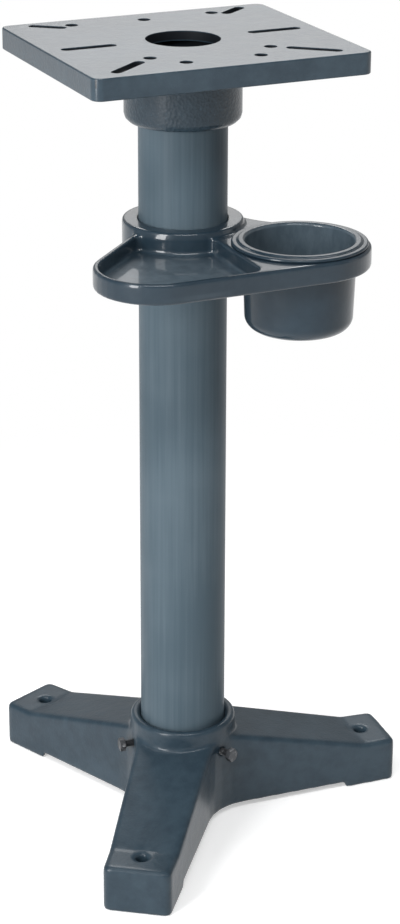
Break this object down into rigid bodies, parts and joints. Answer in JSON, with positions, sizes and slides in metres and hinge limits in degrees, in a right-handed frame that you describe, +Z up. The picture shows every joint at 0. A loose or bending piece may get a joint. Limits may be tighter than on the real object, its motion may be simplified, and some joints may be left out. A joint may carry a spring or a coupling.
{
  "type": "bench grinder stand",
  "caption": "Cast-iron tripod pedestal with a round steel column, slotted rectangular top plate, and a sliding tool tray that carries a lift-out round water pot.",
  "frame": {"origin": "middle of the stand's bounding box, on the floor plane under the feet", "axes": "+Z up along the column; +X along the top plate's long side towards the water pot; +Y towards the back, away from the tray"},
  "size_m": [0.397, 0.4354, 0.838],
  "materials": {
    "cast_paint": "semi-gloss slate blue-grey enamel over sand-cast iron",
    "tube_paint": "smooth semi-gloss slate blue-grey enamel on drawn tube",
    "gloss_paint": "glossy slate blue-grey enamel on cast iron",
    "screw_steel": "dark oxide steel"
  },
  "bodies": {
    "base": {"base_casting": "cast_paint"},
    "column": {"column_tube": "tube_paint"},
    "plate": {"top_plate": "cast_paint"},
    "tray": {"tool_tray": "gloss_paint"},
    "pot": {"water_pot": "gloss_paint"},
    "base_screw_right": {"base_screw_right": "screw_steel"},
    "base_screw_left": {"base_screw_left": "screw_steel"},
    "base_screw_rear": {"base_screw_rear": "screw_steel"},
    "collar_screw_right": {"collar_screw_right": "screw_steel"},
    "collar_screw_left": {"collar_screw_left": "screw_steel"},
    "tray_screw": {"tray_screw": "screw_steel"}
  },
  "joints": [
    {"name": "column_turn", "type": "hinge", "parent": "base", "child": "column", "pos_m": [-0.03702, -0.00812, 0.06], "axis": [0, 0, 1], "continuous": true},
    {"name": "plate_turn", "type": "hinge", "parent": "column", "child": "plate", "pos_m": [-0.03702, -0.00812, 0.8], "axis": [0, 0, 1], "continuous": true},
    {"name": "tray_slide", "type": "slide", "parent": "column", "child": "tray", "axis": [0, 0, 1], "range_m": [-0.44, 0.06]},
    {"name": "pot_lift", "type": "slide", "parent": "tray", "child": "pot", "axis": [0, 0, 1], "range_m": [0, 0.09]},
    {"name": "base_screw_right_turn", "type": "hinge", "parent": "base", "child": "base_screw_right", "pos_m": [-0.01185, -0.06259, 0.077], "axis": [0.4195, -0.9078, 0], "range_deg": [0, 720]},
    {"name": "base_screw_left_turn", "type": "hinge", "parent": "base", "child": "base_screw_left", "pos_m": [-0.09677, -0.00268, 0.077], "axis": [-0.9959, 0.0906, 0], "range_deg": [0, 720]},
    {"name": "base_screw_rear_turn", "type": "hinge", "parent": "base", "child": "base_screw_rear", "pos_m": [-0.00243, 0.04091, 0.077], "axis": [0.5764, 0.8171, 0], "range_deg": [0, 720]},
    {"name": "collar_screw_right_turn", "type": "hinge", "parent": "plate", "child": "collar_screw_right", "pos_m": [0.01899, 0.01338, 0.776], "axis": [0.9336, 0.3584, 0], "range_deg": [0, 720]},
    {"name": "collar_screw_left_turn", "type": "hinge", "parent": "plate", "child": "collar_screw_left", "pos_m": [-0.05852, 0.04789, 0.776], "axis": [-0.3584, 0.9336, 0], "range_deg": [0, 720]},
    {"name": "tray_screw_turn", "type": "hinge", "parent": "tray", "child": "tray_screw", "pos_m": [-0.03702, 0.05488, 0.631], "axis": [0, 1, 0], "range_deg": [0, 720]}
  ]
}
